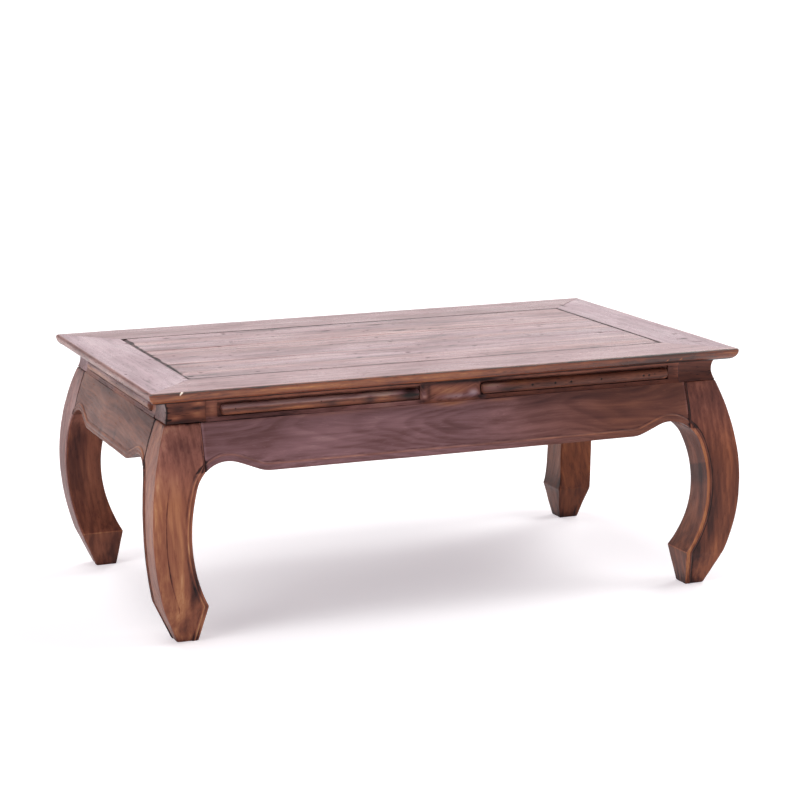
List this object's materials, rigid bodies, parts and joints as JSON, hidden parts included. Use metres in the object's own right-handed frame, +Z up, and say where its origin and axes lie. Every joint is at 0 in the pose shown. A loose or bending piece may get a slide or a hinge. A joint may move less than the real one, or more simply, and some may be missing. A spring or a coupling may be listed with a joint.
{
  "type": "opium table",
  "caption": "Low waisted wooden table with a mitred panelled top, half-round slats in the waist, cusped aprons and bulging legs that curve in to their feet.",
  "frame": {"origin": "on the floor under the middle of the top", "axes": "+X along the length, +Y to the back, +Z up"},
  "size_m": [1.007, 0.647, 0.403],
  "materials": {
    "leg_wood": "stained hardwood, waxed, worn orange on the arrises, dark at the feet",
    "apron_wood": "stained hardwood with figured grain, waxed, worn bead",
    "waist_wood": "stained hardwood, dark and stained in the cove",
    "slat_wood": "stained hardwood, half round, worn along the crown",
    "frame_wood": "stained hardwood, satin wax, orange wear on the rim",
    "panel_wood": "old hardwood boards, satin wax, checks and scratches",
    "bearer_wood": "plain sawn hardwood, unfinished",
    "pin_steel": "dark headless wire pins"
  },
  "bodies": {
    "root": {"leg_back_right": "leg_wood", "leg_back_left": "leg_wood", "leg_front_left": "leg_wood", "leg_front_right": "leg_wood", "apron_back": "apron_wood", "apron_left": "apron_wood", "apron_front": "apron_wood", "apron_right": "apron_wood", "waist_block_back_right": "waist_wood", "waist_block_back_left": "waist_wood", "waist_block_front_left": "waist_wood", "waist_block_front_right": "waist_wood", "waist_board_back": "waist_wood", "waist_board_left": "waist_wood", "waist_board_front": "waist_wood", "waist_board_right": "waist_wood", "waist_slat_back_right": "slat_wood", "waist_slat_back_left": "slat_wood", "waist_slat_left": "slat_wood", "waist_slat_front_left": "slat_wood", "waist_slat_front_right": "slat_wood", "waist_slat_right": "slat_wood", "top_rail_back": "frame_wood", "top_rail_left": "frame_wood", "top_rail_front": "frame_wood", "top_rail_right": "frame_wood", "panel_board_1": "panel_wood", "panel_board_2": "panel_wood", "panel_board_3": "panel_wood", "cross_bearer_left": "bearer_wood", "cross_bearer_right": "bearer_wood", "slat_pins": "pin_steel"}
  },
  "joints": []
}
